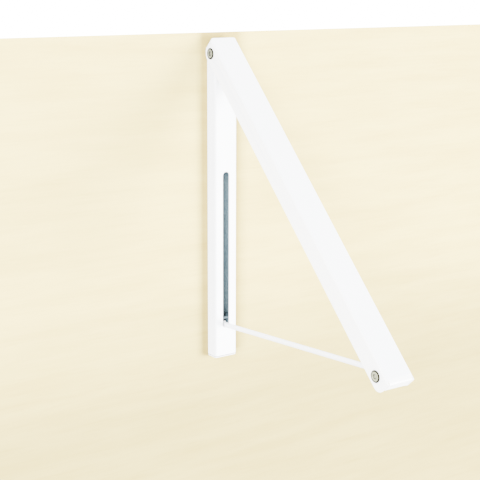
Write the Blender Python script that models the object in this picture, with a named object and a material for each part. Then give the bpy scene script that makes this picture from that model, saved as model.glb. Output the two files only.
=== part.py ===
"""Wall mounted fold down drying rack: a slotted wall channel, a channel-section arm
hinged near its top, and a strut whose inner end runs in the slot on a slider.

Metres, +Z up. The wall is the plane y = 0 and the rack stands out towards -Y. The
origin lies on the wall face, level with the arm's pivot, half way across the rack.
"""
import math

import bmesh
import bpy
from mathutils import Matrix, Vector

# ---------------------------------------------------------------- driving dimensions
# wall channel
BASE_W = 0.030            # outside width
BASE_T = 0.0012           # sheet thickness
BASE_R = 0.0022           # outside bend radius
BASE_PAST_SLIDER = 0.0385 # base below the slider pin when the rack is open
SLOT_UNDER_SLIDER = 0.011 # slot's upper end below the slider pin when it is folded
PLATE_T = 0.0015          # mounting plate
SCREW_HOLE = 0.0052       # wall screw holes in the mounting plate
LOW_SCREW = 0.015         # lower wall screw above the base's bottom end
CAP_T = 0.0018            # end caps
TOP_PLUG = 0.0010         # depth of the top cap's plug
LOW_PLUG = 0.0040         # depth of the bottom cap's plug
TAB_OVER_PLUG = 0.0005    # lock tab above the bottom cap's plug
LOCK_OUT = 0.0085         # lock screw to the wall face
LOCK_R = 0.0016           # its shank
LOCK_HEAD_R = 0.0030
LOCK_EDGE = 0.0006        # round of its head and chamfer of its tip
PLUG_R = 0.0010           # round of the plugs' and stops' front corners
HOOK_ROOM = 0.0012        # plate's hook and lock tab to the base's front
HOOK_SIDE = 0.0045        # and to the plate's edges

# arm
PIVOT_OUT = 0.0102        # pivot axis to the wall face, and slider pin to the wall face
ARM_L = 0.416             # pivot axis to end pin axis
ARM_T = 0.0012            # sheet thickness
ARM_R = 0.0022            # outside bend radius
ARM_GAP = 0.0010          # base side face to the flange's inner face
ARM_PAST_PIVOT = 0.0127   # arm above the pivot
ARM_PAST_END = 0.0163     # arm beyond the end pin
LIP_DEPTH = 0.0120        # turned-in lip at the arm's free end
LIP_SLIT = 0.0005         # between the lip and each flange
FOOT_R = 0.0085           # round of the flanges' lower rear corners
TOP_R = 0.0038            # round of the front face's upper corners

# strut and slider
STRUT_L = 0.292           # end pin axis to slider pin axis
STRUT_D = 0.0055          # rod diameter
OPEN_ANGLE = 94.4         # strut's angle from straight down when the rack is open
EYE_D = 0.012             # flattened eye at the end pin
EYE_T = 0.0046            # thickness of both flattened eyes
TIP_D = 0.008             # flattened eye at the slider pin
SLIDER_PIN_D = 0.004
SLIDER_PIN_L = 0.012
PIN_EDGE = 0.0003         # chamfer of the slider pin's ends
SLIDER_UP = 0.0104        # slider above its pin seat
SLIDER_DOWN = 0.009       # slider below it
BRIDGE_H = 0.0025         # slider's bridge over the strut
BRIDGE_T = 0.0027
STOP_H = 0.008            # rubber stops at both ends of the slider's travel

# pins
PIN_D = 0.006
HEAD_D = 0.0130
HEAD_H = 0.0009
HEAD_EDGE = 0.0006        # round of the heads' rims
SOCKET = 0.0040           # hexagon socket, across flats
SOCKET_DEEP = 0.0010
BUSH_WALL = 0.0007
BUSH_LIP_D = 0.011
BUSH_LIP_T = 0.0004
BUSH_PAST_WALL = 0.0008   # bush inside the base's side wall
SPACER_WALL = 0.0010
BOLT_SPLIT = 0.003        # bolt's shoulder end to the middle of the rack
THREAD_R = 0.0021
THREAD_END = 0.0140
THREAD_EDGE = 0.0004      # chamfer of the thread's end

# clearances
GAP = 0.0003              # between faces that touch on the real rack
FIT = 0.0002              # radial, round a pin, bush or shank
SLOT_SIDE = 0.0018        # strut to each side of its slot
SLOT_END = 0.0006         # strut to the slot's lower end when the rack is open
FOLD_ROOM = 0.0012        # strut to the base's front face when the rack is folded
WALL_ROOM = 0.0006        # folded arm to the wall
TOP_ROOM = 0.0006         # open arm to the base's top edge
WEB_ROOM = 0.0005         # metal between the pivot hole and the base's front
CAP_ROOM = 0.0010         # pivot spacer to the top cap
WINDOW_SIDE = 0.0005      # slider pin to each side of its window
WINDOW_END = 0.0020       # strut to the window's ends

# ---------------------------------------------------------------- derived geometry
PIN_R = PIN_D / 2
BORE_R = PIN_R + FIT
BUSH_R = BORE_R + BUSH_WALL
SPACER_R = BORE_R + SPACER_WALL
ROD_R = STRUT_D / 2
SLOT_W = STRUT_D + 2 * SLOT_SIDE
WINDOW_W = SLIDER_PIN_L + 2 * WINDOW_SIDE

HALF_W = BASE_W / 2
INNER_W = HALF_W - BASE_T
BASE_IN = PIVOT_OUT + BUSH_R + FIT + WEB_ROOM
BASE_D = BASE_IN + BASE_T
BASE_ABOVE = SPACER_R + CAP_ROOM + TOP_PLUG + CAP_T
ARM_IN = HALF_W + ARM_GAP
ARM_OUT = ARM_IN + ARM_T
HEAD_IN = ARM_OUT + GAP


def linkage(lean):
    """Arm angle and slider pin height when the strut leans this far from straight down."""
    arm_angle = math.asin(STRUT_L * math.sin(lean) / ARM_L)
    return arm_angle, STRUT_L * math.cos(lean) - ARM_L * math.cos(arm_angle)


open_rad = math.radians(OPEN_ANGLE)
arm_open, slider_open = linkage(open_rad)
slot_foot = (slider_open - (BASE_D - PIVOT_OUT) / math.tan(open_rad)
             - ROD_R / math.sin(open_rad) - SLOT_END)

# folded, the strut leans out just enough to pass in front of the slot's lower end
fold_rad = 0.0
for settle in range(30):
    arm_fold, slider_fold = linkage(fold_rad)
    step_out = BASE_D + FOLD_ROOM - PIVOT_OUT + ROD_R / math.cos(fold_rad)
    fold_rad = math.atan2(step_out, slider_fold - slot_foot)
slot_top = slider_fold - SLOT_UNDER_SLIDER

BASE_BELOW = BASE_PAST_SLIDER - slider_open
ARM_REAR = PIVOT_OUT - WALL_ROOM
ARM_FRONT = ((BASE_D - PIVOT_OUT) * math.cos(arm_open) + BASE_ABOVE * math.sin(arm_open)
             + TOP_ROOM + ARM_T)


def strut_line(part):
    """Inner end and direction of the strut when the fold has gone this part of its way."""
    arm = arm_open + (arm_fold - arm_open) * part
    lean = open_rad + (fold_rad - open_rad) * part
    way = (math.sin(lean), -math.cos(lean))
    tip = (PIVOT_OUT + ARM_L * math.sin(arm) - STRUT_L * way[0],
           -ARM_L * math.cos(arm) - STRUT_L * way[1])
    return tip, way


def window_ends():
    """Heights the strut's inner end needs free at the mounting plate, over the whole fold."""
    low, high = [], []
    for step in range(101):
        tip, way = strut_line(step / 100)
        for depth in (0.0, PLATE_T):
            if tip[0] - TIP_D / 2 > depth:
                continue
            run = max(0.0, (depth - tip[0]) / way[0])
            height = tip[1] + run * way[1]
            reach = TIP_D / 2 if run < TIP_D else ROD_R / way[0]
            low.append(height - reach)
            high.append(height + reach)
    return min(low) - WINDOW_END, max(high) + WINDOW_END


window_low, window_high = window_ends()

for old in list(bpy.data.objects):
    bpy.data.objects.remove(old, do_unlink=True)


# ---------------------------------------------------------------- helpers
# Outlines are drawn in (x, out, up), where out is the distance from the wall.
def place(point):
    return Vector((point[0], -point[1], point[2]))


def solid(name, bm):
    bmesh.ops.recalc_face_normals(bm, faces=bm.faces)
    mesh = bpy.data.meshes.new(name)
    bm.to_mesh(mesh)
    bm.free()
    obj = bpy.data.objects.new(name, mesh)
    bpy.context.scene.collection.objects.link(obj)
    return obj


def extrude(name, outline, along, low, high):
    """A closed outline run along x, out or up. Its two numbers are the other two axes."""
    spot = {"x": lambda p, w: (w, p[0], p[1]),
            "out": lambda p, w: (p[0], w, p[1]),
            "up": lambda p, w: (p[0], p[1], w)}[along]
    bm = bmesh.new()
    rings = [[bm.verts.new(place(spot(p, w))) for p in outline] for w in (low, high)]
    bm.faces.new(rings[0])
    bm.faces.new(rings[1])
    count = len(outline)
    for i in range(count):
        j = (i + 1) % count
        bm.faces.new((rings[0][i], rings[0][j], rings[1][j], rings[1][i]))
    return solid(name, bm)


def turned(name, profile, steps=32, hollow=False):
    """A profile of (x, radius) turned about the x axis; hollow profiles are closed loops."""
    bm = bmesh.new()
    rings = []
    for x, radius in profile:
        if radius <= 0:
            rings.append([bm.verts.new((x, 0, 0))])
            continue
        angles = [2 * math.pi * i / steps for i in range(steps)]
        rings.append([bm.verts.new((x, radius * math.cos(a), radius * math.sin(a)))
                      for a in angles])
    following = rings[1:] + rings[:1] if hollow else rings[1:]
    for a, b in zip(rings, following):
        for i in range(steps):
            j = (i + 1) % steps
            ring = [a[i % len(a)], a[j % len(a)], b[j % len(b)], b[i % len(b)]]
            face = []
            for vert in ring:
                if vert not in face:
                    face.append(vert)
            bm.faces.new(face)
    return solid(name, bm)


def arc(cx, cy, radius, start, end, steps):
    return [(cx + radius * math.cos(math.radians(start + (end - start) * i / steps)),
             cy + radius * math.sin(math.radians(start + (end - start) * i / steps)))
            for i in range(steps + 1)]


def u_section(half, depth, sheet, bend, rear=0.0, steps=5):
    """Channel section open to the wall: two legs and a front web with rounded bends."""
    inner = max(bend - sheet, 0.0004)
    left = arc(-half + bend, depth - bend, bend, 180, 90, steps)
    right = arc(half - bend, depth - bend, bend, 90, 0, steps)
    back = arc(half - sheet - inner, depth - sheet - inner, inner, 0, 90, steps)
    back += arc(-half + sheet + inner, depth - sheet - inner, inner, 90, 180, steps)
    return ([(-half, rear)] + left + right + [(half, rear), (half - sheet, rear)]
            + back + [(-half + sheet, rear)])


def stadium(width, low, high, steps=10):
    r = width / 2
    return arc(0, low + r, r, 180, 360, steps) + arc(0, high - r, r, 0, 180, steps)


def disc(cx, cy, radius, steps=32):
    return arc(cx, cy, radius, 0, 360 * (steps - 1) / steps, steps - 1)


def block(name, x, out, up):
    return extrude(name, [(x[0], out[0]), (x[1], out[0]), (x[1], out[1]), (x[0], out[1])],
                   "up", up[0], up[1])


def shape(target, tool, how="DIFFERENCE"):
    tool.hide_render = True
    tool.display_type = "WIRE"
    tool.parent = target
    mod = target.modifiers.new(tool.name, "BOOLEAN")
    mod.operation = how
    mod.solver = "EXACT"
    mod.object = tool


def smooth(obj, angle=35):
    obj.data.shade_smooth()
    obj.data.set_sharp_from_angle(angle=math.radians(angle))


def material(name, color, metallic, roughness):
    mat = bpy.data.materials.new(name)
    mat.use_nodes = True
    shader = mat.node_tree.nodes["Principled BSDF"]
    shader.inputs["Base Color"].default_value = (*color, 1)
    shader.inputs["Metallic"].default_value = metallic
    shader.inputs["Roughness"].default_value = roughness
    return mat


WHITE = ((0.86, 0.86, 0.85), 0.0, 0.42)
CAP = ((0.84, 0.84, 0.83), 0.0, 0.50)
STEEL = ((0.60, 0.60, 0.58), 1.0, 0.28)
ZINC = ((0.24, 0.32, 0.35), 1.0, 0.45)
NYLON = ((0.80, 0.80, 0.76), 0.0, 0.50)
SLATE = ((0.05, 0.07, 0.08), 0.0, 0.45)
RUBBER = ((0.04, 0.04, 0.04), 0.0, 0.80)


def finish(obj, look, parent=None):
    obj.data.materials.append(material(obj.name, *look))
    smooth(obj)
    if parent:
        obj.parent = parent
    return obj


def moved(obj, location, turn=0.0):
    obj.location = location
    obj.rotation_euler = (turn, 0, 0)
    return obj


# ---------------------------------------------------------------- wall channel
cap_low = -BASE_BELOW + CAP_T
cap_high = BASE_ABOVE - CAP_T
pivot_at = (0, -PIVOT_OUT, 0)

base = extrude("base_channel", u_section(HALF_W, BASE_D, BASE_T, BASE_R), "up",
               cap_low + FIT, cap_high - FIT)
shape(base, extrude("slot_tool", stadium(SLOT_W, slot_foot, slot_top), "out",
                    BASE_D / 2, BASE_D * 1.5))
shape(base, extrude("pivot_hole_tool", disc(PIVOT_OUT, 0, BUSH_R + FIT), "x",
                    -BASE_W, BASE_W))
finish(base, WHITE)

plate_half = INNER_W - GAP
plate_low = cap_low + FIT
plate_high = BASE_ABOVE - CAP_T - FIT
plate = extrude("back_plate", [(-plate_half, plate_low), (plate_half, plate_low),
                               (plate_half, plate_high), (-plate_half, plate_high)],
                "out", 0, PLATE_T)
shape(plate, extrude("window_tool", stadium(WINDOW_W, window_low, window_high, 8), "out",
                     -PLATE_T, PLATE_T * 3))
hook_high = -SPACER_R - GAP
upper_stop = slider_fold + SLIDER_UP + GAP
lower_stop = slider_open - SLIDER_DOWN - GAP - STOP_H
high_screw = (hook_high - PLATE_T + upper_stop + STOP_H) / 2
for name, height in (("high_screw_tool", high_screw),
                     ("low_screw_tool", LOW_SCREW - BASE_BELOW)):
    shape(plate, extrude(name, disc(0, height, SCREW_HOLE / 2, 24), "out",
                         -PLATE_T, PLATE_T * 3))
fold_out = BASE_IN - HOOK_ROOM
hook_half = plate_half - HOOK_SIDE
shape(plate, block("hook_tool", (-hook_half, hook_half), (PLATE_T / 2, fold_out),
                   (hook_high - PLATE_T, hook_high)), "UNION")
tab_low = cap_low + LOW_PLUG + TAB_OVER_PLUG
shape(plate, block("tab_tool", (-hook_half, hook_half), (PLATE_T / 2, fold_out),
                   (tab_low, tab_low + PLATE_T)), "UNION")
shape(plate, extrude("lock_tool", disc(0, LOCK_OUT, LOCK_R + FIT, 24), "up",
                     tab_low - PLATE_T, tab_low + PLATE_T * 2))
finish(plate, ZINC, base)


def outline_d(half, depth, bend, rear=0.0):
    return ([(-half, rear)] + arc(-half + bend, depth - bend, bend, 180, 90, 5)
            + arc(half - bend, depth - bend, bend, 90, 0, 5) + [(half, rear)])


plug_half = INNER_W - GAP
plug_out = BASE_IN - GAP
plug_rear = PLATE_T + GAP
top_cap = extrude("top_cap", outline_d(HALF_W, BASE_D, BASE_R), "up", cap_high, BASE_ABOVE)
shape(top_cap, extrude("top_plug_tool", outline_d(plug_half, plug_out, PLUG_R, plug_rear),
                       "up", cap_high - TOP_PLUG, cap_high + CAP_T / 2), "UNION")
finish(top_cap, CAP, base)

bottom_cap = extrude("bottom_cap", outline_d(HALF_W, BASE_D, BASE_R), "up",
                     -BASE_BELOW, cap_low)
shape(bottom_cap, extrude("bottom_plug_tool",
                          outline_d(plug_half, plug_out, PLUG_R, plug_rear), "up",
                          cap_low - CAP_T / 2, cap_low + LOW_PLUG), "UNION")
shape(bottom_cap, extrude("cap_hole_tool", disc(0, LOCK_OUT, LOCK_R + FIT, 24), "up",
                          -BASE_BELOW - CAP_T, tab_low))
lock_head_h = CAP_T
shape(bottom_cap, extrude("cap_bore_tool", disc(0, LOCK_OUT, LOCK_HEAD_R + FIT * 2, 24),
                          "up", -BASE_BELOW - CAP_T, -BASE_BELOW + lock_head_h + 2 * GAP))
finish(bottom_cap, CAP, base)

lock_end = tab_low + PLATE_T * 2 + BASE_BELOW
lock = turned("lock_screw", [(0, 0), (0, LOCK_HEAD_R - LOCK_EDGE), (LOCK_EDGE, LOCK_HEAD_R),
                             (lock_head_h, LOCK_HEAD_R), (lock_head_h, LOCK_R),
                             (lock_end - LOCK_EDGE, LOCK_R), (lock_end, LOCK_R - LOCK_EDGE),
                             (lock_end, 0)], 24)
lock.data.transform(Matrix.Rotation(-math.pi / 2, 4, "Y"))
moved(lock, (0, -LOCK_OUT, -BASE_BELOW + GAP))
finish(lock, STEEL, base)

# rubber stops that the slider meets at each end of its travel
for name, low in (("stop_lower", lower_stop), ("stop_upper", upper_stop)):
    finish(extrude(name, outline_d(plug_half, plug_out, PLUG_R, plug_rear), "up",
                   low, low + STOP_H), RUBBER, base)

# ---------------------------------------------------------------- pivot
bush_in = INNER_W - BUSH_PAST_WALL
lip_out = HALF_W + GAP + BUSH_LIP_T
for name, side in (("bush_left", -1), ("bush_right", 1)):
    bush = turned(name, [(side * x, r) for x, r in (
        (bush_in, BORE_R), (lip_out, BORE_R), (lip_out, BUSH_LIP_D / 2),
        (HALF_W + GAP, BUSH_LIP_D / 2), (HALF_W + GAP, BUSH_R), (bush_in, BUSH_R))],
        hollow=True)
    finish(moved(bush, pivot_at), NYLON, base)

spacer_half = bush_in - GAP
spacer = turned("pivot_spacer", [(-spacer_half, BORE_R), (spacer_half, BORE_R),
                                 (spacer_half, SPACER_R), (-spacer_half, SPACER_R)],
                hollow=True)
finish(moved(spacer, pivot_at), ZINC, base)


def head(side):
    """Low pin head with a rounded rim, from its under-side out to the crown."""
    rim = HEAD_D / 2 - HEAD_EDGE
    outline = ([(0, HEAD_D / 2)] + arc(HEAD_H - HEAD_EDGE, rim, HEAD_EDGE, 90, 0, 4)
               + [(HEAD_H, 0)])
    return [(side * (HEAD_IN + h), radius) for h, radius in outline]


def hexagon(flats):
    r = flats / 2 / math.cos(math.pi / 6)
    return [(r * math.cos(math.pi / 3 * i), r * math.sin(math.pi / 3 * i))
            for i in range(6)]


def pin_pair(prefix, location, parent):
    """Shouldered bolt from the left, sleeve nut from the right."""
    mouth = BOLT_SPLIT + GAP
    bolt = turned(prefix + "_bolt", [(THREAD_END, 0), (THREAD_END, THREAD_R - THREAD_EDGE),
                                     (THREAD_END - THREAD_EDGE, THREAD_R),
                                     (BOLT_SPLIT, THREAD_R),
                                     (BOLT_SPLIT, PIN_R), (-HEAD_IN, PIN_R)] + head(-1))
    nut = turned(prefix + "_nut", [(THREAD_END + GAP, 0), (THREAD_END + GAP, THREAD_R + FIT),
                                   (mouth, THREAD_R + FIT), (mouth, PIN_R),
                                   (HEAD_IN, PIN_R)] + head(1))
    for obj, side in ((bolt, -1), (nut, 1)):
        edge = HEAD_IN + HEAD_H
        low, high = sorted((side * (edge - SOCKET_DEEP), side * (edge + HEAD_H)))
        shape(obj, extrude(obj.name + "_socket_tool", hexagon(SOCKET), "x", low, high))
        finish(moved(obj, location), STEEL, parent)
    return bolt, nut


pin_pair("pivot", pivot_at, base)

# ---------------------------------------------------------------- arm
# drawn hanging straight down from the pivot, then swung out to the open pose
arm_low = -(ARM_L + ARM_PAST_END)
arm = extrude("arm_channel", u_section(ARM_OUT, ARM_FRONT, ARM_T, ARM_R, -ARM_REAR), "up",
              arm_low, ARM_PAST_PIVOT)
lip_half = ARM_IN - LIP_SLIT
shape(arm, block("lip_tool", (-lip_half, lip_half),
                 (ARM_FRONT - LIP_DEPTH, ARM_FRONT - ARM_T / 2), (arm_low, arm_low + ARM_T)),
      "UNION")
past = ARM_FRONT + ARM_T
# the flanges end in a round about the pivot, then run parallel to the wall up to the top
slope = (ARM_PAST_PIVOT - ARM_REAR * math.sin(arm_open)) / math.cos(arm_open)
slope_end = slope * math.sin(arm_open) - ARM_REAR * math.cos(arm_open)
side_view = (arc(0, 0, ARM_REAR, 180, 180 - math.degrees(arm_open), 8)
             + [(slope_end, ARM_PAST_PIVOT), (past, ARM_PAST_PIVOT),
                (past, arm_low)]
             + arc(-ARM_REAR + FOOT_R, arm_low + FOOT_R, FOOT_R, 270, 180, 8))
shape(arm, extrude("side_trim_tool", side_view, "x", -BASE_W * 2, BASE_W * 2), "INTERSECT")
front_view = ([(-ARM_OUT, arm_low), (ARM_OUT, arm_low)]
              + arc(ARM_OUT - TOP_R, ARM_PAST_PIVOT - TOP_R, TOP_R, 0, 90, 6)
              + arc(-ARM_OUT + TOP_R, ARM_PAST_PIVOT - TOP_R, TOP_R, 90, 180, 6))
shape(arm, extrude("front_trim_tool", front_view, "out", -past * 3, past * 3), "INTERSECT")
for name, height in (("arm_pivot_tool", 0), ("arm_end_tool", -ARM_L)):
    shape(arm, extrude(name, disc(0, height, BORE_R + FIT), "x", -BASE_W * 2, BASE_W * 2))
moved(arm, pivot_at, -arm_open)
finish(arm, WHITE)

end_at = (0, 0, -ARM_L)
pin_pair("end", end_at, arm)
eye_half = EYE_T / 2
for name, side in (("end_spacer_left", -1), ("end_spacer_right", 1)):
    low, high = side * (eye_half + GAP), side * (ARM_IN - GAP)
    tube = turned(name, [(low, BORE_R), (high, BORE_R), (high, SPACER_R), (low, SPACER_R)],
                  hollow=True)
    finish(moved(tube, end_at), ZINC, arm)

# ---------------------------------------------------------------- strut
# drawn straight up from the end pin, then turned with the arm
pin_r = SLIDER_PIN_D / 2
strut = extrude("strut_rod", disc(0, 0, ROD_R, 24), "up", SPACER_R + 2 * GAP,
                STRUT_L - SLIDER_PIN_D / 4)
shape(strut, extrude("eye_tool", disc(0, 0, EYE_D / 2), "x", -eye_half, eye_half), "UNION")
shape(strut, extrude("tip_tool", disc(0, STRUT_L, TIP_D / 2), "x", -eye_half, eye_half),
      "UNION")
shape(strut, extrude("eye_hole_tool", disc(0, 0, BUSH_R + FIT), "x", -STRUT_D, STRUT_D))
shape(strut, extrude("tip_hole_tool", disc(0, STRUT_L, pin_r + FIT, 24), "x",
                     -STRUT_D, STRUT_D))
moved(strut, end_at, arm_open - open_rad)
finish(strut, WHITE, arm)

strut_bush = turned("strut_bush", [(-eye_half, BORE_R), (eye_half, BORE_R),
                                   (eye_half, BUSH_R), (-eye_half, BUSH_R)], hollow=True)
finish(strut_bush, NYLON, strut)
half_pin = SLIDER_PIN_L / 2
slider_pin = turned("slider_pin", [(-half_pin, 0), (-half_pin, pin_r - PIN_EDGE),
                                   (-half_pin + PIN_EDGE, pin_r),
                                   (half_pin - PIN_EDGE, pin_r),
                                   (half_pin, pin_r - PIN_EDGE), (half_pin, 0)], 24)
finish(moved(slider_pin, (0, 0, STRUT_L)), STEEL, strut)

# ---------------------------------------------------------------- slider
# a saddle that carries the pin on its lower front side and is open to the rear and top
slider_rear = plug_rear - PIVOT_OUT
slider_front = plug_out - PIVOT_OUT
slider = extrude("slider_block", outline_d(plug_half, slider_front, PLUG_R, slider_rear),
                 "up", -SLIDER_DOWN, SLIDER_UP)
seat = pin_r + GAP
cut_rear, cut_front = slider_rear - GAP, slider_front + GAP
cut_low, cut_high = -SLIDER_DOWN - GAP, SLIDER_UP + GAP
pocket = (arc(0, 0, seat, -90, 90, 10)
          + [(0, cut_high), (cut_rear, cut_high), (cut_rear, -seat)])
pocket_half = half_pin + GAP
shape(slider, extrude("pocket_tool", pocket, "x", -pocket_half, pocket_half))
bridge_low = SLIDER_UP - BRIDGE_H
bridge_rear = slider_front - BRIDGE_T
rod_way = ROD_R + WINDOW_SIDE
way = [(cut_rear, cut_low), (cut_front, cut_low), (cut_front, bridge_low),
       (bridge_rear, bridge_low), (bridge_rear, cut_high), (cut_rear, cut_high)]
shape(slider, extrude("rod_way_tool", way, "x", -rod_way, rod_way))
moved(slider, (0, -PIVOT_OUT, slider_open))
finish(slider, SLATE, base)

bpy.context.view_layer.update()
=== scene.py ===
"""Looks of the wall mounted fold down drying rack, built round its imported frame.

Every piece is placed from the frame's own boxes. Outlines are drawn in (x, out, up), where
out is the distance from the wall; the arm and the strut are drawn straight up and down and
then turned to the pose that the frame holds. Lengths are metres.
"""

import math

import bmesh
import bpy
from mathutils import Matrix, Vector


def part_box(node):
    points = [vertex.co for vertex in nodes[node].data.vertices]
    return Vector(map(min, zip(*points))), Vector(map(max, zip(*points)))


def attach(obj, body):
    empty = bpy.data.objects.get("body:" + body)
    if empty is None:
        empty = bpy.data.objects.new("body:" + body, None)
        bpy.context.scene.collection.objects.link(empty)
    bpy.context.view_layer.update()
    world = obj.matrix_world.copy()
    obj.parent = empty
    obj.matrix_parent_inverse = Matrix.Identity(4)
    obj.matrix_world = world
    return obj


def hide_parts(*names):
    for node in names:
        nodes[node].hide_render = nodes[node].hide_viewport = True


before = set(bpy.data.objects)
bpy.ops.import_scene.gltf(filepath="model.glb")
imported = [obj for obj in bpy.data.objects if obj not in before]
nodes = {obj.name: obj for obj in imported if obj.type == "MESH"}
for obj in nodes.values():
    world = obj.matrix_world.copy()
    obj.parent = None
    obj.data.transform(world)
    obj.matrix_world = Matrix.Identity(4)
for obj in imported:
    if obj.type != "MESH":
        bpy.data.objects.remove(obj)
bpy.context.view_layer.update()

# ---------------------------------------------------------------- detail sizes
SHEET = 0.0012            # steel sheet of the base and the arm
BEND_R = 0.0022           # outside radius of their bends
COAT_EDGE = 0.00032       # powder coat's round over a cut sheet edge
SLOT_EDGE = 0.00022       # and over the slot's rim
TOP_R = 0.0038            # round of the arm's upper front corners
FOOT_R = 0.0085           # round of the arm's lower rear corners
LIP_DEPTH = 0.0120        # turned-in lip at the arm's free end
RELIEF_W = 0.0012         # bend relief at each end of the lip
RELIEF_H = 0.0036
HEAD_H = 0.0011           # pin heads
HEAD_ROUND = 0.0006       # round of their rims
HEAD_DISH = 0.0003        # fall of their faces from the middle to the rim
SOCKET = 0.0046           # hexagon socket, across flats
SOCKET_DEEP = 0.0010
HEAD_EDGE = 0.00012
REFLECTION_RINGS_END = 0.0068        # radius that the painted reflection rings of a head's colour run to
PIN_R = 0.0030
PLAY = 0.0002             # radial room round a pin or a bush
BORE_R = PIN_R + PLAY
THREAD_R = 0.0021
THREAD_EDGE = 0.0004      # chamfer of the thread's end
THREAD_END = 0.0140       # thread's end to the middle of the rack
SHOULDER = 0.0030         # bolt's shoulder end to the middle of the rack
NUT_ROOM = 0.0003         # nut past the bolt's shoulder and thread
BUSH_WALL = 0.0007
BUSH_LIP_T = 0.0004
BUSH_EDGE = 0.0001
METAL_EDGE = 0.00015      # broken edges of the small metal pieces
CAP_SEAM = 0.0009         # open joint between the base and its caps
CAP_INSET = 0.0002        # base's faces over the caps'
CAP_EDGE = 0.0004         # moulded round of the end caps
LOCK_HEAD_R = 0.0034      # recess for the lock screw's head
LOCK_HEAD_DEEP = 0.0024
STOP_EDGE = 0.0004
SLIDER_EDGE = 0.0002
CROSS_PIN_EDGE = 0.0001
EYE_ROUND = 0.0006        # round of the strut's pressed eyes
EYE_HALF = 0.0023         # half their thickness
TIP_R = 0.0040            # eye at the slider pin
TIP_HOLE_R = 0.0022
NECK = 0.0130             # length over which the rod flattens into an eye
NECK_START = 0.0048       # neck's start to the end pin, inside the eye
NECK_END = 0.0010         # its other end to the slider pin
NECK_SPREAD = 0.78        # neck's width at an eye, as a part of the eye's
NECK_SQUARE = 2.2         # how much squarer its section is there than the round rod


# ---------------------------------------------------------------- places from the frame
def centre(node):
    low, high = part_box(node)
    return (low + high) / 2


base_low, base_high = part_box("base_channel")
half_w = base_high.x
base_out = -base_low.y
pivot = Vector((0, *centre("pivot_bolt").yz))
end_pin = Vector((0, *centre("end_bolt").yz))
slider_pin = Vector((0, *centre("slider_pin").yz))


def turn_to(start, goal):
    """Turn about x that brings the +Z direction round to point from start to goal."""
    way = goal - start
    return math.atan2(-way.y, way.z)


arm_hang = Matrix.Translation(pivot) @ Matrix.Rotation(turn_to(end_pin, pivot), 4, "X")
strut_stand = (Matrix.Translation(end_pin)
               @ Matrix.Rotation(turn_to(end_pin, slider_pin), 4, "X"))
strut_l = (slider_pin - end_pin).length
arm_l = (end_pin - pivot).length


def extent(node, place=Matrix.Identity(4)):
    """Box of a node in the frame whose matrix is place, as (low, high) in (x, out, up)."""
    spots = [place.inverted() @ v.co for v in nodes[node].data.vertices]
    outs = [-p.y for p in spots]
    xs = [p.x for p in spots]
    ups = [p.z for p in spots]
    return Vector((min(xs), min(outs), min(ups))), Vector((max(xs), max(outs), max(ups)))


def slot_extent():
    """Width and lower and upper ends of the slot in the base's front face."""
    rim = [v.co for v in nodes["base_channel"].data.vertices if abs(v.co.x) < half_w / 2]
    return (2 * max(abs(p.x) for p in rim), min(p.z for p in rim), max(p.z for p in rim))


arm_low, arm_high = extent("arm_channel", arm_hang)
slot_w, slot_foot, slot_top = slot_extent()


# ---------------------------------------------------------------- shapes
def place(point):
    return Vector((point[0], -point[1], point[2]))


def arc(cx, cy, radius, start, end, steps):
    return [(cx + radius * math.cos(math.radians(start + (end - start) * i / steps)),
             cy + radius * math.sin(math.radians(start + (end - start) * i / steps)))
            for i in range(steps + 1)]


def ring(cx, cy, radius, steps):
    return arc(cx, cy, radius, 0, 360 * (steps - 1) / steps, steps - 1)


def solid(name, bm):
    bmesh.ops.recalc_face_normals(bm, faces=bm.faces)
    mesh = bpy.data.meshes.new(name)
    bm.to_mesh(mesh)
    bm.free()
    obj = bpy.data.objects.new(name, mesh)
    bpy.context.scene.collection.objects.link(obj)
    return obj


SPOT = {"x": lambda p, w: (w, p[0], p[1]),
        "out": lambda p, w: (p[0], w, p[1]),
        "up": lambda p, w: (p[0], p[1], w)}


def extrude(name, outline, along, stations):
    """A closed outline run along x, out or up through the given stations."""
    bm = bmesh.new()
    rings = [[bm.verts.new(place(SPOT[along](p, w))) for p in outline] for w in stations]
    bm.faces.new(rings[0])
    bm.faces.new(rings[-1])
    count = len(outline)
    for a, b in zip(rings, rings[1:]):
        for i in range(count):
            j = (i + 1) % count
            bm.faces.new((a[i], a[j], b[j], b[i]))
    return solid(name, bm)


def turned(name, profile, steps=96, hollow=False):
    """A profile of (x, radius) turned about the x axis; hollow profiles are closed loops."""
    bm = bmesh.new()
    rings = []
    for x, radius in profile:
        count = steps if radius > 0 else 1
        angles = [2 * math.pi * i / steps for i in range(count)]
        rings.append([bm.verts.new((x, radius * math.cos(a), radius * math.sin(a)))
                      for a in angles])
    following = rings[1:] + rings[:1] if hollow else rings[1:]
    for a, b in zip(rings, following):
        for i in range(steps):
            j = (i + 1) % steps
            corners = [a[i % len(a)], a[j % len(a)], b[j % len(b)], b[i % len(b)]]
            bm.faces.new(list(dict.fromkeys(corners)))
    return solid(name, bm)


def combine(target, tool, how="DIFFERENCE"):
    """Cuts, joins or trims target with tool, then deletes tool."""
    mod = target.modifiers.new("combine", "BOOLEAN")
    mod.operation = how
    mod.solver = "EXACT"
    mod.object = tool
    graph = bpy.context.evaluated_depsgraph_get()
    mesh = bpy.data.meshes.new_from_object(target.evaluated_get(graph))
    target.modifiers.clear()
    target.data = mesh
    bpy.data.objects.remove(tool, do_unlink=True)


def block(name, x, out, up):
    outline = [(x[0], out[0]), (x[1], out[0]), (x[1], out[1]), (x[0], out[1])]
    return extrude(name, outline, "up", up)


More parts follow.
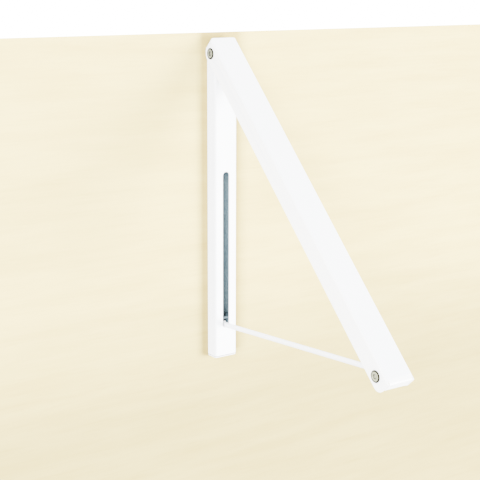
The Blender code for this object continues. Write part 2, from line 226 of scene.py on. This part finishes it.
def soften(piece, width, segments=3, angle=32):
    """Rounds every edge sharper than angle, and keeps the flat faces' shading flat."""
    for face in piece.data.polygons:
        face.use_smooth = True
    bevel = piece.modifiers.new("soft_edges", "BEVEL")
    bevel.width = width
    bevel.segments = segments
    bevel.limit_method = "ANGLE"
    bevel.angle_limit = math.radians(angle)
    bevel.miter_outer = "MITER_ARC"
    normals = piece.modifiers.new("even_normals", "WEIGHTED_NORMAL")
    normals.keep_sharp = True
    return piece


def show(piece, body, slot_name, look, *replaced):
    """Gives a piece its material and its body, and hides the nodes that it stands for;
    slot_name is not used.
    """
    piece.data.materials.clear()
    piece.data.materials.append(look)
    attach(piece, body)
    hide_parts(*replaced)
    return piece


# ---------------------------------------------------------------- materials
class Graph:
    """A material's node tree, built a node at a time."""

    def __init__(self, name):
        self.material = bpy.data.materials.new(name)
        self.material.use_nodes = True
        self.tree = self.material.node_tree
        self.shader = self.tree.nodes["Principled BSDF"]
        self.coords = self.tree.nodes.new("ShaderNodeTexCoord")

    def add(self, kind, links=(), **values):
        """A node with some inputs set, and others linked from (input, output) pairs."""
        node = self.tree.nodes.new("ShaderNode" + kind)
        for key, value in values.items():
            if hasattr(node, key):
                setattr(node, key, value)
            else:
                node.inputs[key.replace("_", " ").title()].default_value = value
        for socket, source in links:
            self.tree.links.new(source, node.inputs[socket])
        return node

    def noise(self, scale, detail=3.0, stretch=(1, 1, 1)):
        spread = self.add("Mapping", [("Vector", self.coords.outputs["Object"])])
        spread.inputs["Scale"].default_value = stretch
        return self.add("TexNoise", [("Vector", spread.outputs["Vector"])],
                        scale=scale, detail=detail).outputs["Fac"]

    def ramp(self, source, stops):
        """Colour ramp with (place, grey or colour) stops."""
        node = self.add("ValToRGB", [("Fac", source)])
        elements = node.color_ramp.elements
        while len(elements) < len(stops):
            elements.new(0.5)
        for element, (spot, tone) in zip(elements, stops):
            element.position = spot
            colour = tone if isinstance(tone, tuple) else (tone, tone, tone)
            element.color = (*colour, 1)
        return node.outputs["Color"]

    def mix(self, amount, first, second, blend="MIX"):
        node = self.tree.nodes.new("ShaderNodeMix")
        node.data_type = "RGBA"
        node.blend_type = blend
        for socket, value in (("Factor", amount), ("A", first), ("B", second)):
            match = [s for s in node.inputs if s.name == socket and s.enabled][0]
            if isinstance(value, bpy.types.NodeSocket):
                self.tree.links.new(value, match)
            elif socket == "Factor":
                match.default_value = value
            else:
                match.default_value = (*value, 1)
        return [s for s in node.outputs if s.enabled][0]

    def rough(self, source, low, high):
        spread = self.add("MapRange", [("Value", source)])
        spread.inputs["To Min"].default_value = low
        spread.inputs["To Max"].default_value = high
        self.tree.links.new(spread.outputs["Result"], self.shader.inputs["Roughness"])

    def bump(self, source, height, strength=1.0, below=None):
        node = self.add("Bump", [("Height", source)])
        node.inputs["Distance"].default_value = height
        node.inputs["Strength"].default_value = strength
        if below is not None:
            self.tree.links.new(below, node.inputs["Normal"])
        return node.outputs["Normal"]

    def colour(self, source):
        self.tree.links.new(source, self.shader.inputs["Base Color"])

    def normal(self, source):
        self.tree.links.new(source, self.shader.inputs["Normal"])

    def edges(self, low, high):
        """Mask of the surface's convex edges."""
        geometry = self.add("NewGeometry")
        return self.ramp(geometry.outputs["Pointiness"], [(low, 0.0), (high, 1.0)])


def white_coat():
    """Fine-textured white powder coat over steel, a touch cool, slightly rubbed at edges."""
    g = Graph("white_powder_coat")
    peel = g.noise(620, 2.0)
    grit = g.noise(3200, 2.0)
    cloud = g.noise(9, 4.0)
    tone = g.ramp(cloud, [(0.30, (0.780, 0.797, 0.828)), (0.70, (0.834, 0.847, 0.870))])
    worn = g.mix(g.edges(0.52, 0.62), tone, (0.90, 0.90, 0.895))
    dust = g.ramp(g.noise(240, 5.0), [(0.70, 0.0), (0.78, 0.35)])
    g.colour(g.mix(dust, worn, (0.70, 0.69, 0.66)))
    g.rough(g.noise(55, 4.0), 0.34, 0.50)
    g.normal(g.bump(grit, 0.000012, 0.6, g.bump(peel, 0.00006, 0.55)))
    g.shader.inputs["Specular IOR Level"].default_value = 0.45
    g.shader.inputs["Coat Weight"].default_value = 0.12
    g.shader.inputs["Coat Roughness"].default_value = 0.28
    return g.material


def cap_plastic():
    """Moulded white plastic with a fine spark-eroded grain."""
    g = Graph("cap_plastic")
    tone = g.ramp(g.noise(14, 3.0), [(0.3, (0.78, 0.785, 0.79)), (0.7, (0.82, 0.82, 0.82))])
    tone = g.mix(g.edges(0.53, 0.62), tone, (0.86, 0.86, 0.85))
    height = g.add("SeparateXYZ", [("Vector", g.coords.outputs["Object"])])
    # painted shade: a near-black band at the open joints against the base, where shade falls
    # in the gap
    for seam in (base_low.z - CAP_SEAM / 2, base_high.z + CAP_SEAM / 2):
        joint = g.add("Math", [(0, height.outputs["Z"])], operation="COMPARE")
        joint.inputs[1].default_value = seam
        joint.inputs[2].default_value = CAP_SEAM / 2
        tone = g.mix(joint.outputs["Value"], tone, (0.12, 0.11, 0.09))
    g.colour(tone)
    g.rough(g.noise(120, 3.0), 0.42, 0.58)
    g.normal(g.bump(g.noise(2600, 2.0), 0.00002, 0.7))
    return g.material


def turned_steel():
    """Bright turned steel with fine rings round the pin's axis; its colour holds painted
    reflections: an olive tint on the face and dark rings at the rim and round the socket.
    """
    g = Graph("bright_steel")
    local = g.add("SeparateXYZ", [("Vector", g.coords.outputs["Object"])])
    radial = g.add("CombineXYZ", [("Y", local.outputs["Y"]), ("Z", local.outputs["Z"])])
    radius = g.add("VectorMath", [("Vector", radial.outputs["Vector"])], operation="LENGTH")
    rings = g.add("TexWave", [("Vector", radial.outputs["Vector"])], scale=900.0,
                  distortion=1.2, detail=2.0)
    rings.wave_type = "RINGS"
    rings.rings_direction = "X"
    reach = g.add("MapRange", [("Value", radius.outputs["Value"])])
    reach.inputs["From Max"].default_value = REFLECTION_RINGS_END
    # painted reflections: olive tint of the board on the face, dark rings round the socket
    # and at the rim
    face = g.ramp(reach.outputs["Result"], [
        (0.00, (0.30, 0.31, 0.24)), (0.32, (0.22, 0.23, 0.17)), (0.38, (0.035, 0.036, 0.03)),
        (0.44, (0.36, 0.38, 0.27)), (0.68, (0.30, 0.32, 0.22)), (0.73, (0.010, 0.011, 0.008)),
        (1.00, (0.004, 0.004, 0.003))])
    stain = g.ramp(g.noise(420, 4.0), [(0.35, 0.72), (0.65, 1.0)])
    g.colour(g.mix(1.0, face, stain, "MULTIPLY"))
    g.rough(g.noise(700, 3.0), 0.20, 0.38)
    fine = g.bump(g.noise(1500, 3.0), 0.00001, 0.5)
    g.normal(g.bump(rings.outputs["Fac"], 0.000012, 0.5, fine))
    g.shader.inputs["Metallic"].default_value = 1.0
    return g.material


def plain_steel():
    """Drawn steel shanks, seen only inside the rack."""
    g = Graph("drawn_steel")
    tone = g.ramp(g.noise(300, 4.0, (0.2, 1, 1)), [(0.3, (0.44, 0.45, 0.44)),
                                                   (0.7, (0.58, 0.58, 0.57))])
    g.colour(tone)
    g.rough(g.noise(500, 3.0), 0.24, 0.42)
    g.normal(g.bump(g.noise(900, 3.0, (0.1, 1, 1)), 0.00001, 0.6))
    g.shader.inputs["Metallic"].default_value = 1.0
    return g.material


def zinc_plate():
    """Bluish zinc plating with a faint crystal pattern and drawn lines."""
    g = Graph("zinc_plate")
    cells = g.add("TexVoronoi", [("Vector", g.coords.outputs["Object"])], scale=330.0)
    cells.feature = "F1"
    crystal = g.ramp(cells.outputs["Distance"], [(0.1, (0.13, 0.19, 0.215)),
                                                 (0.9, (0.18, 0.25, 0.275))])
    film = g.ramp(g.noise(45, 5.0), [(0.30, (0.80, 0.86, 0.90)), (0.70, (1.0, 1.0, 1.0))])
    coated = g.mix(1.0, crystal, film, "MULTIPLY")
    # darker towards the bottom of the slot
    height = g.add("SeparateXYZ", [("Vector", g.coords.outputs["Object"])])
    rise = g.add("MapRange", [("Value", height.outputs["Z"])])
    rise.inputs["From Min"].default_value = slot_foot
    rise.inputs["From Max"].default_value = slot_top
    g.colour(g.mix(1.0, coated, g.ramp(rise.outputs["Result"], [(0.0, 0.55), (0.6, 0.86)]),
                   "MULTIPLY"))
    g.rough(g.noise(160, 4.0), 0.34, 0.55)
    lines = g.noise(1100, 2.0, (1, 1, 0.04))
    g.normal(g.bump(lines, 0.00001, 0.5))
    g.shader.inputs["Metallic"].default_value = 0.85
    return g.material


def moulded(name, dark, light, low, high, grain, depth):
    """Moulded plastic or rubber between two tones, with its grain's size and depth."""
    g = Graph(name)
    tone = g.ramp(g.noise(40, 4.0), [(0.3, dark), (0.7, light)])
    g.colour(g.mix(g.edges(0.53, 0.63), tone, tuple(min(1.0, c * 1.25) for c in light)))
    g.rough(g.noise(200, 3.0), low, high)
    g.normal(g.bump(g.noise(grain, 3.0), depth, 0.7))
    g.shader.inputs["Specular IOR Level"].default_value = 0.04
    return g.material


COAT = white_coat()
CAP = cap_plastic()
STEEL = turned_steel()
SHANK = plain_steel()
ZINC = zinc_plate()
NYLON = moulded("nylon", (0.70, 0.70, 0.66), (0.78, 0.78, 0.74), 0.38, 0.52, 1800, 0.00001)
# painted shade: the slider's near-black teal matches the shaded inside of the slot
SLATE = moulded("dark_plastic", (0.018, 0.030, 0.036), (0.028, 0.042, 0.050), 0.50, 0.62,
                2200, 0.000015)
RUBBER = moulded("rubber", (0.030, 0.030, 0.030), (0.045, 0.044, 0.043), 0.70, 0.88,
                 1200, 0.00004)


# ---------------------------------------------------------------- sheet steel
def u_section(half, depth, rear=0.0, steps=10):
    """Channel section open to the wall: two legs and a front web with rounded bends."""
    inner = BEND_R - SHEET
    left = arc(-half + BEND_R, depth - BEND_R, BEND_R, 180, 90, steps)
    right = arc(half - BEND_R, depth - BEND_R, BEND_R, 90, 0, steps)
    back = arc(half - BEND_R, depth - BEND_R, inner, 0, 90, steps)
    back += arc(-half + BEND_R, depth - BEND_R, inner, 90, 180, steps)
    return ([(-half, rear)] + left + right + [(half, rear), (half - SHEET, rear)]
            + back + [(-half + SHEET, rear)])


def stadium(width, low, high, steps=24):
    r = width / 2
    return arc(0, low + r, r, 180, 360, steps) + arc(0, high - r, r, 0, 180, steps)


def base_shell():
    """Wall channel with its long slot and the two holes for the pivot bushes."""
    piece = extrude("base_shell", u_section(half_w, base_out), "up",
                    (base_low.z, base_high.z))
    combine(piece, extrude("slot_tool", stadium(slot_w, slot_foot, slot_top), "out",
                           (base_out / 2, base_out * 1.5)))
    hole = BORE_R + BUSH_WALL + PLAY
    combine(piece, extrude("bush_tool", ring(-pivot.y, pivot.z, hole, 48), "x",
                           (-half_w * 2, half_w * 2)))
    soften(piece, SLOT_EDGE)
    return show(piece, "base", "white_coat", COAT, "base_channel")


def arm_shell():
    """Channel-section arm; its free end turns in as a lip with a relief at each side."""
    out_x = arm_high.x
    front, rear = arm_high.y, -arm_low.y
    top, low = arm_high.z, arm_low.z
    piece = extrude("arm_shell", u_section(out_x, front, -rear), "up", (low, top))
    lip_half = out_x - SHEET - RELIEF_W
    # web's end between the reliefs goes, and the lip with its bend takes its place
    combine(piece, block("web_end_tool", (-lip_half - RELIEF_W, lip_half + RELIEF_W),
                         (front - BEND_R * 1.5, front * 1.5), (low - top, low + RELIEF_H)))
    inner = BEND_R - SHEET
    fold = ([(front, low + RELIEF_H * 2)]
            + arc(front - BEND_R, low + BEND_R, BEND_R, 0, -90, 8)
            + [(front - LIP_DEPTH, low), (front - LIP_DEPTH, low + SHEET)]
            + arc(front - BEND_R, low + BEND_R, inner, -90, 0, 8)
            + [(front - SHEET, low + RELIEF_H * 2)])
    combine(piece, extrude("lip_tool", fold, "x", (-lip_half, lip_half)), "UNION")
    # side view: the rear edge turns round the pivot to stand along the wall; round foot
    past = front + SHEET
    swing = turn_to(end_pin, pivot)
    slope = (top - rear * math.sin(-swing)) / math.cos(swing)
    side_view = (arc(0, 0, rear, 180, 180 + math.degrees(swing), 24)
                 + [(slope * math.sin(-swing) - rear * math.cos(swing), top),
                    (past, top), (past, low - SHEET), (-rear + FOOT_R, low - SHEET)]
                 + arc(-rear + FOOT_R, low + FOOT_R, FOOT_R, 270, 180, 24))
    combine(piece, extrude("side_trim_tool", side_view, "x", (-out_x * 2, out_x * 2)),
            "INTERSECT")
    # front view: rounded upper corners, with room left round the rest
    front_view = ([(-out_x * 1.1, low * 1.1), (out_x * 1.1, low * 1.1),
                   (out_x * 1.1, top - TOP_R), (out_x, top - TOP_R)]
                  + arc(out_x - TOP_R, top - TOP_R, TOP_R, 0, 90, 14)
                  + arc(-out_x + TOP_R, top - TOP_R, TOP_R, 90, 180, 14)
                  + [(-out_x * 1.1, top - TOP_R)])
    combine(piece, extrude("front_trim_tool", front_view, "out", (-past * 3, past * 3)),
            "INTERSECT")
    for name, height in (("arm_pivot_tool", 0), ("arm_end_tool", -arm_l)):
        combine(piece, extrude(name, ring(0, height, PIN_R + PLAY * 2, 48), "x",
                               (-out_x * 2, out_x * 2)))
    piece.data.transform(arm_hang)
    soften(piece, COAT_EDGE)
    return show(piece, "arm", "white_coat", COAT, "arm_channel")


base_shell()
arm_shell()


# ---------------------------------------------------------------- strut
def smooth_step(t):
    t = min(1.0, max(0.0, t))
    return t * t * (3 - 2 * t)


def bend(value, power):
    """Superellipse coordinate: round at power 2, squarer above it."""
    return math.copysign(abs(value) ** (2 / power), value)


def strut():
    """Round rod whose ends are pressed flat into eyes; the press spreads the rod sideways."""
    low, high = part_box("strut_rod")
    rod_r = (high.x - low.x) / 2
    eye_r = extent("strut_rod", strut_stand)[1].y
    start = NECK_START
    goal = strut_l - NECK_END
    steps, rounds = 90, 40     # along the rod and round it
    bm = bmesh.new()
    rings = []
    for i in range(steps + 1):
        up = start + (goal - start) * i / steps
        # 0 on the round rod, 1 on the flat of either eye
        flat = max(smooth_step(1 - (up - start) / NECK), smooth_step(1 - (goal - up) / NECK))
        wide_end = eye_r if up < strut_l / 2 else TIP_R
        half_x = rod_r + (EYE_HALF - rod_r) * flat
        half_out = rod_r + (wide_end * NECK_SPREAD - rod_r) * flat
        power = 2 + NECK_SQUARE * flat
        rings.append([bm.verts.new(place((half_x * bend(math.cos(a), power),
                                          half_out * bend(math.sin(a), power), up)))
                      for a in (2 * math.pi * k / rounds for k in range(rounds))])
    bm.faces.new(rings[0])
    bm.faces.new(rings[-1])
    for a, b in zip(rings, rings[1:]):
        for k in range(rounds):
            n = (k + 1) % rounds
            bm.faces.new((a[k], a[n], b[n], b[k]))
    piece = solid("strut", bm)
    for name, height, r in (("eye_tool", 0, eye_r), ("tip_tool", strut_l, TIP_R)):
        combine(piece, extrude(name, ring(0, height, r, 64), "x", (-EYE_HALF, EYE_HALF)),
                "UNION")
    for name, height, r in (("eye_hole_tool", 0, BORE_R + BUSH_WALL + PLAY),
                            ("tip_hole_tool", strut_l, TIP_HOLE_R)):
        combine(piece, extrude(name, ring(0, height, r, 48), "x", (-rod_r * 2, rod_r * 2)))
    piece.data.transform(strut_stand)
    soften(piece, EYE_ROUND, 3, 50)
    return show(piece, "strut", "white_coat", COAT, "strut_rod")


strut()


# ---------------------------------------------------------------- pins
def hexagon(flats):
    r = flats / 2 / math.cos(math.pi / 6)
    return [(r * math.cos(math.pi / 3 * i), r * math.sin(math.pi / 3 * i))
            for i in range(6)]


def head_profile(radius, crown):
    """Half outline of a head from its underside to its middle, as (height, radius)."""
    rim_top = crown - HEAD_DISH
    rim = [(0, radius - HEAD_ROUND / 3), (HEAD_ROUND / 3, radius)]
    rim += arc(rim_top - HEAD_ROUND, radius - HEAD_ROUND, HEAD_ROUND, 90, 8, 8)
    face_r = radius - HEAD_ROUND
    mouth = SOCKET * 0.66      # countersink round the socket
    dome = [(rim_top + HEAD_DISH * (1 - (r / face_r) ** 2), r)
            for r in (face_r * k / 8 for k in range(7, 3, -1))]
    return rim + dome + [(crown - HEAD_DISH * 0.2, mouth), (crown - HEAD_DISH, mouth * 0.86),
                         (crown - HEAD_DISH, 0)]


def pin_half(name, node, at, body, side, shank):
    """One half of a pin: a bolt or a sleeve nut, with its head at the given side."""
    low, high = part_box(node)
    crown = max(abs(low.x), abs(high.x))
    radius = (high.z - low.z) / 2
    under = crown - HEAD_H
    profile = shank(under) + [(side * (under + h), r)
                              for h, r in head_profile(radius, HEAD_H)]
    piece = turned(name, profile)
    ends = sorted((side * (crown - SOCKET_DEEP), side * (crown + HEAD_H)))
    combine(piece, extrude(name + "_socket", hexagon(SOCKET), "x", ends))
    piece.location = at
    soften(piece, HEAD_EDGE, 2, 40)
    return show(piece, body, "bright_steel", STEEL, node)


def bolt_shank(under):
    return [(THREAD_END, 0), (THREAD_END, THREAD_R - THREAD_EDGE),
            (THREAD_END - THREAD_EDGE, THREAD_R), (SHOULDER, THREAD_R), (SHOULDER, PIN_R),
            (-under, PIN_R)]


def nut_shank(under):
    bore = THREAD_R + PLAY
    return [(THREAD_END + NUT_ROOM, 0), (THREAD_END + NUT_ROOM, bore),
            (SHOULDER + NUT_ROOM, bore), (SHOULDER + NUT_ROOM, PIN_R), (under, PIN_R)]


for prefix, at, body in (("pivot", pivot, "base"), ("end", end_pin, "arm")):
    pin_half(prefix + "_pin", prefix + "_bolt", at, body, -1, bolt_shank)
    pin_half(prefix + "_pin_nut", prefix + "_nut", at, body, 1, nut_shank)


# ---------------------------------------------------------------- turned small parts
def tube(name, node, at, body, slot_name, look):
    """Plain tube that fills its node's box round the pin's axis."""
    low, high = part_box(node)
    outer = (high.z - low.z) / 2
    piece = turned(name, [(low.x, BORE_R), (high.x, BORE_R), (high.x, outer),
                          (low.x, outer)], 64, hollow=True)
    piece.location = at
    soften(piece, METAL_EDGE, 2)
    return show(piece, body, slot_name, look, node)


tube("pivot_sleeve", "pivot_spacer", pivot, "base", "zinc_plate", ZINC)
tube("end_sleeve_left", "end_spacer_left", end_pin, "arm", "zinc_plate", ZINC)
tube("end_sleeve_right", "end_spacer_right", end_pin, "arm", "zinc_plate", ZINC)
tube("eye_bush", "strut_bush", end_pin, "strut", "nylon", NYLON)


def flanged_bush(name, node, side):
    low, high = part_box(node)
    outer = (high.z - low.z) / 2
    inner_end, lip_end = sorted((abs(low.x), abs(high.x)))
    lip = lip_end - BUSH_LIP_T
    wall = BORE_R + BUSH_WALL
    profile = [(inner_end, BORE_R), (lip_end, BORE_R), (lip_end, outer), (lip, outer),
               (lip, wall), (inner_end, wall)]
    piece = turned(name, [(side * x, r) for x, r in profile], 64, hollow=True)
    piece.location = pivot
    soften(piece, BUSH_EDGE, 2)
    return show(piece, "base", "nylon", NYLON, node)


flanged_bush("pivot_bush_left", "bush_left", -1)
flanged_bush("pivot_bush_right", "bush_right", 1)


# ---------------------------------------------------------------- refined frame pieces
def refined(name, node, edge, body, slot_name, look):
    """A piece with its node's own shape, its facets merged and its edges rounded."""
    bm = bmesh.new()
    bm.from_mesh(nodes[node].data)
    bmesh.ops.remove_doubles(bm, verts=bm.verts, dist=1e-6)
    bmesh.ops.dissolve_limit(bm, angle_limit=math.radians(1), verts=bm.verts,
                             edges=bm.edges)
    piece = soften(solid(name, bm), edge)
    return show(piece, body, slot_name, look, node)


for name, node, edge, slot_name, look in (
        ("mounting_plate", "back_plate", METAL_EDGE, "zinc_plate", ZINC),
        ("lower_stop", "stop_lower", STOP_EDGE, "rubber", RUBBER),
        ("upper_stop", "stop_upper", STOP_EDGE, "rubber", RUBBER),
        ("cap_screw", "lock_screw", METAL_EDGE, "bright_steel", SHANK)):
    refined(name, node, edge, "base", slot_name, look)


def plug_outline(half, depth, corner, rear):
    """Outline across the base, with rounded front corners."""
    return ([(-half, rear)] + arc(-half + corner, depth - corner, corner, 180, 90, 10)
            + arc(half - corner, depth - corner, corner, 90, 0, 10) + [(half, rear)])


def end_cap(name, node, plate, plug):
    """Moulded cap, a little smaller than the base all round, with a plug that fits inside."""
    inset = CAP_INSET
    piece = extrude(name, plug_outline(half_w - inset, base_out - inset, BEND_R, inset),
                    "up", plate)
    inner = half_w - SHEET - inset
    combine(piece, extrude(name + "_plug", plug_outline(inner, base_out - SHEET - inset,
                                                        BEND_R - SHEET, base_out / 8),
                           "up", plug), "UNION")
    if node == "bottom_cap":
        at = centre("lock_screw")
        for tool, r, top in (("_recess", LOCK_HEAD_R, plate[0] + LOCK_HEAD_DEEP),
                             ("_hole", LOCK_HEAD_R / 2, plug[1] + LOCK_HEAD_DEEP)):
            combine(piece, extrude(name + tool, ring(0, -at.y, r, 48), "up",
                                   (plate[0] - LOCK_HEAD_DEEP, top)))
    soften(piece, CAP_EDGE)
    return show(piece, "base", "cap_plastic", CAP, node)


for name, node, side in (("bottom_cover", "bottom_cap", -1), ("top_cover", "top_cap", 1)):
    low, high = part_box(node)
    if side < 0:
        plate = (low.z, base_low.z - CAP_SEAM)
        plug = (sum(plate) / 2, high.z)
    else:
        plate = (base_high.z + CAP_SEAM, high.z)
        plug = (low.z, sum(plate) / 2)
    end_cap(name, node, plate, plug)
refined("slider", "slider_block", SLIDER_EDGE, "slider", "dark_plastic", SLATE)
refined("slider_cross_pin", "slider_pin", CROSS_PIN_EDGE, "strut", "bright_steel", SHANK)


# ---------------------------------------------------------------- stage
# a backing board and a floor; neither is part of the object
BOARD_ABOVE = 0.0232      # backing board's top edge above the pivot
BOARD_HALF_W = 1.6
BOARD_DOWN = 1.4
STAND_OFF = 0.0002        # board behind the wall face
NEAR = STAND_OFF * 8      # rays shorter than this pass through the board
FLOOR_HALF = 6.0
BOARD_FADE = 0.45         # height over which painted light makes it paler toward its top
FADE = ((0.07, 0.85), (0.42, 1.33), (1.0, 1.36))    # part of that height, and its tone there: painted light, darker low and paler high
SHADE_LEFT = 0.016        # reach of the base's shade on it
SHADE_RIGHT = 0.028
SHADE_UNDER = 0.006
# nearness to the base, and how much of the board's tone is left there
SHADE = ((0.0, 1.0), (0.35, 0.84), (0.62, (0.61, 0.57, 0.51)))


def span(g, source, start, end):
    """0 at start, rising to 1 at end."""
    node = g.add("MapRange", [("Value", source)])
    node.inputs["From Min"].default_value = start
    node.inputs["From Max"].default_value = end
    return node.outputs["Result"]


def contact_shade(g, split):
    """Shade that the base leaves on the board close beside it, wider on its right."""
    left = span(g, split.outputs["X"], -half_w - SHADE_LEFT, -half_w)
    right = span(g, split.outputs["X"], half_w + SHADE_RIGHT, half_w)
    beside = g.add("Math", [(0, left), (1, right)], operation="MINIMUM")
    level = span(g, split.outputs["Z"], base_low.z - SHADE_UNDER, base_low.z)
    near = g.add("Math", [(0, beside.outputs["Value"]), (1, level)], operation="MULTIPLY")
    return g.ramp(near.outputs["Value"], SHADE)


def one_sided(name, colour, bounce, roughness):
    """Stage surface, solid from its front and see-through from behind; bounce is the
    colour of the light that it throws back on the object."""
    g = Graph(name)
    ray = g.add("LightPath")
    height = g.add("SeparateXYZ", [("Vector", g.coords.outputs["Object"])])
    # painted light: the board's tone rises toward the pivot, standing in for how light falls
    # on it
    tone = g.ramp(span(g, height.outputs["Z"], pivot.z - BOARD_FADE, pivot.z), [
        (spot, tuple(c * part for c in colour)) for spot, part in FADE])
    figure = g.ramp(g.noise(60, 6.0, (0.10, 1, 1)), [(0.35, (0.93, 0.91, 0.86)),
                                                     (0.62, (1.03, 1.03, 1.04))])
    pores = g.ramp(g.noise(420, 3.0, (0.05, 1, 1)), [(0.30, (0.95, 0.94, 0.92)),
                                                     (0.50, (1.0, 1.0, 1.0))])
    seen = g.mix(1.0, g.mix(1.0, tone, figure, "MULTIPLY"), pores, "MULTIPLY")
    seen = g.mix(1.0, seen, contact_shade(g, height), "MULTIPLY")
    g.colour(g.mix(ray.outputs["Is Camera Ray"], bounce, seen))
    g.shader.inputs["Roughness"].default_value = roughness
    g.shader.inputs["Specular IOR Level"].default_value = 0.0
    clear = g.add("BsdfTransparent")
    side = g.add("NewGeometry")
    either = g.add("Math", [(0, side.outputs["Backfacing"]),
                            (1, ray.outputs["Is Shadow Ray"])], operation="MAXIMUM")
    # light from behind the board still reaches the rear of the mounting plate
    near = g.add("Math", [(0, ray.outputs["Ray Length"])], operation="LESS_THAN")
    near.inputs[1].default_value = NEAR
    through = g.add("Math", [(0, either.outputs["Value"]), (1, near.outputs["Value"])],
                    operation="MAXIMUM")
    blend = g.add("MixShader", [("Fac", through.outputs["Value"])])
    g.tree.links.new(g.shader.outputs["BSDF"], blend.inputs[1])
    g.tree.links.new(clear.outputs["BSDF"], blend.inputs[2])
    g.tree.links.new(blend.outputs["Shader"],
                     g.tree.nodes["Material Output"].inputs["Surface"])
    return g.material


def sheet(name, corners, facing, look):
    """Flat stage piece whose front is on the side that it faces."""
    bm = bmesh.new()
    bm.faces.new([bm.verts.new(corner) for corner in corners])
    piece = solid(name, bm)
    if piece.data.polygons[0].normal.dot(facing) < 0:
        piece.data.flip_normals()
    piece.data.materials.append(look)
    return piece


board_top = pivot.z + BOARD_ABOVE
board_foot = board_top - BOARD_DOWN
pale_board = one_sided("pale_board", (0.47, 0.385, 0.105), (0.55, 0.52, 0.47), 0.55)
board_corners = [(x, STAND_OFF, z) for x, z in (
    (-BOARD_HALF_W, board_foot), (BOARD_HALF_W, board_foot),
    (BOARD_HALF_W, board_top), (-BOARD_HALF_W, board_top))]
sheet("backing_board", board_corners, Vector((0, -1, 0)), pale_board)
pale_floor = one_sided("pale_floor", (0.60, 0.59, 0.57), (0.5, 0.5, 0.5), 0.6)
floor_corners = [(x * FLOOR_HALF, y * FLOOR_HALF, board_foot)
                 for x, y in ((-1, -1), (1, -1), (1, 1), (-1, 1))]
ground = sheet("pale_floor", floor_corners, Vector((0, 0, 1)), pale_floor)
# lights the object from below, but isn't in the photo
ground.visible_camera = False


def area_light(name, at, toward, size, power, colour=(1, 1, 1)):
    data = bpy.data.lights.new(name, "AREA")
    data.shape = "SQUARE"
    data.size = size
    data.energy = power
    data.color = colour
    obj = bpy.data.objects.new(name, data)
    obj.location = at
    obj.rotation_euler = (Vector(toward) - Vector(at)).to_track_quat("-Z", "Y").to_euler()
    bpy.context.scene.collection.objects.link(obj)


aim = (0, -0.1, -0.15)
area_light("key", (1.9, -2.2, -0.8), aim, 1.5, 640)
area_light("fill", (-2.0, -1.8, 0.8), aim, 1.0, 380)
area_light("rear", (0.4, 2.4, 0.6), aim, 2.0, 20)

SKY = (5.6, 5.7, 5.9)     # light from all round
BACKDROP = (18, 18, 18)   # what the camera sees beyond the board
world = bpy.data.worlds.new("soft_white")
world.use_nodes = True
air = world.node_tree
rays = air.nodes.new("ShaderNodeLightPath")
shade = air.nodes.new("ShaderNodeMix")
shade.data_type = "RGBA"
air.links.new(rays.outputs["Is Camera Ray"], shade.inputs["Factor"])
shade.inputs[6].default_value = (*SKY, 1)
shade.inputs[7].default_value = (*BACKDROP, 1)
air.links.new(shade.outputs[2], air.nodes["Background"].inputs["Color"])
bpy.context.scene.world = world

# ---------------------------------------------------------------- camera
CAMERA_AT = Vector((-0.7477, -1.1132, 0.0855))
YAW, PITCH, ROLL = (math.radians(a) for a in (34.976, -12.781, 0.173))
LENS = 87.375             # millimetres, on a 36 mm wide sensor

camera_data = bpy.data.cameras.new("camera")
camera_data.lens = LENS
camera_data.sensor_width = 36.0
camera_data.clip_start = 0.02
camera = bpy.data.objects.new("camera", camera_data)
camera.matrix_world = (Matrix.Translation(CAMERA_AT) @ Matrix.Rotation(-YAW, 4, "Z")
                       @ Matrix.Rotation(math.pi / 2 + PITCH, 4, "X")
                       @ Matrix.Rotation(ROLL, 4, "Z"))
bpy.context.scene.collection.objects.link(camera)
bpy.context.scene.camera = camera
